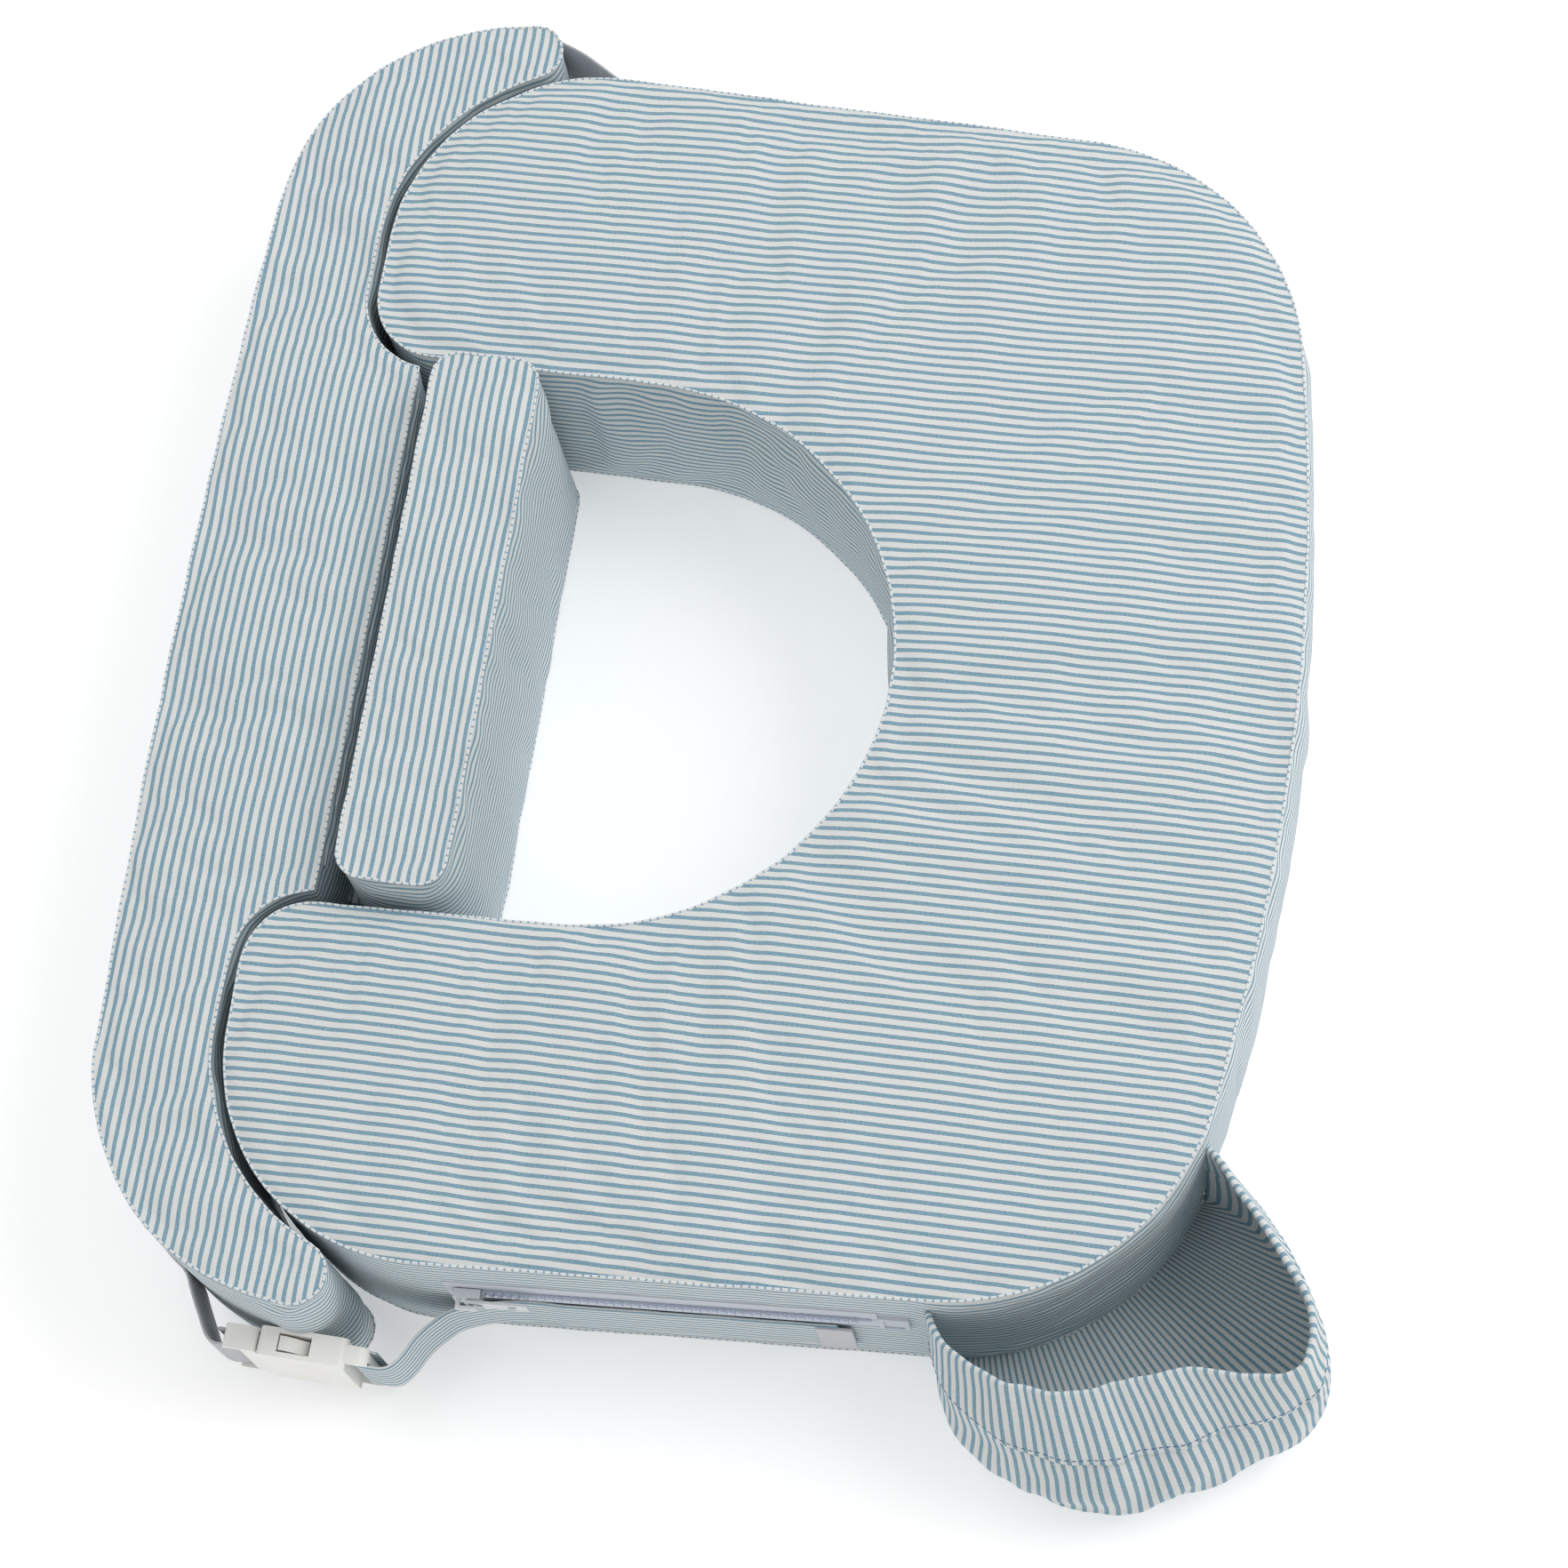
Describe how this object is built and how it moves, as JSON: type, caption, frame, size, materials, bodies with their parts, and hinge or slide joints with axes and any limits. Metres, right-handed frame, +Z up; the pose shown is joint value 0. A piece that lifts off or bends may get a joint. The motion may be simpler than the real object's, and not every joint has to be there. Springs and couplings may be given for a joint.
{
  "type": "nursing pillow",
  "caption": "C-shaped feeding cushion with a side pocket, a zipped striped cover and a padded back rest with lumbar pad that swings open on a strap and closes with a side-release buckle.",
  "frame": {"origin": "centre of the whole pillow's outline, on the surface it lies on", "axes": "+Z up, rounded front of the cushion towards -Y, back rest at +Y, buckle, zip and pocket on the -X side"},
  "size_m": [0.66, 0.5552, 0.134],
  "materials": {
    "striped_cotton": "matte woven cotton with narrow blue stripes on off-white",
    "foam": "open-cell foam",
    "white_plastic": "satin moulded",
    "zip_metal": "white enamel",
    "zip_nylon": "nylon coil",
    "zip_tape": "woven tape",
    "blue_thread": "bar tack",
    "grey_webbing": "brushed webbing"
  },
  "bodies": {
    "cushion": {"cushion_foam": "foam", "cushion_top_panel": "striped_cotton", "cushion_bottom_panel": "striped_cotton", "cushion_outer_wall": "striped_cotton", "cushion_inner_wall": "striped_cotton", "zip_tape_upper": "zip_tape", "zip_tape_lower": "zip_tape", "zip_coil": "zip_nylon", "zip_end_tab": "zip_tape", "pocket_bag": "striped_cotton", "pocket_hem": "striped_cotton", "pocket_tack_left": "blue_thread", "pocket_tack_right": "blue_thread", "front_belt": "striped_cotton", "front_belt_patch": "grey_webbing", "buckle_socket": "white_plastic", "side_strap": "grey_webbing"},
    "zip_slider": {"zip_slider": "zip_metal"},
    "zip_pull": {"zip_pull": "zip_metal"},
    "back_rest": {"rest_foam": "foam", "rest_top_panel": "striped_cotton", "rest_bottom_panel": "striped_cotton", "rest_outer_wall": "striped_cotton", "rest_inner_wall": "striped_cotton", "rear_belt": "grey_webbing", "rear_belt_patch": "grey_webbing", "buckle_plug": "white_plastic", "pad_hinge_strip": "striped_cotton"},
    "prong_upper": {"buckle_prong_upper": "white_plastic"},
    "prong_lower": {"buckle_prong_lower": "white_plastic"},
    "lumbar_pad": {"pad_foam": "foam", "pad_top_panel": "striped_cotton", "pad_bottom_panel": "striped_cotton", "pad_wall": "striped_cotton"}
  },
  "joints": [
    {"name": "rest_swing", "type": "hinge", "parent": "cushion", "child": "back_rest", "pos_m": [0.31014, 0.1566, 0.084], "axis": [0, 0, -1], "range_deg": [0, 60], "deforming": ["side_strap", "buckle_prong_upper", "buckle_prong_lower"]},
    {"name": "pad_fold", "type": "hinge", "parent": "back_rest", "child": "lumbar_pad", "pos_m": [0.01214, 0.1836, 0.114], "axis": [-1, 0, 0], "range_deg": [0, 90], "deforming": ["pad_hinge_strip"]},
    {"name": "zip_slide", "type": "slide", "parent": "cushion", "child": "zip_slider", "axis": [0.0543, -0.9985, 0], "range_m": [0, 0.165]},
    {"name": "zip_pull_turn", "type": "hinge", "parent": "zip_slider", "child": "zip_pull", "pos_m": [-0.28474, 0.09629, 0.072], "axis": [0, 0, -1], "range_deg": [0, 150]},
    {"name": "prong_squeeze_upper", "type": "hinge", "parent": "back_rest", "child": "prong_upper", "pos_m": [-0.31009, 0.19069, 0.0554], "axis": [0.9995, -0.0314, 0], "range_deg": [0, 12.5], "stiffness_Nm_per_rad": 0.05},
    {"name": "prong_squeeze_lower", "type": "hinge", "parent": "back_rest", "child": "prong_lower", "pos_m": [-0.31009, 0.19069, 0.0206], "axis": [-0.9995, 0.0314, 0], "range_deg": [0, 12.5], "stiffness_Nm_per_rad": 0.05}
  ],
  "couplings": [
    {"joint": "prong_squeeze_lower", "follows": "prong_squeeze_upper", "ratio": 1}
  ]
}
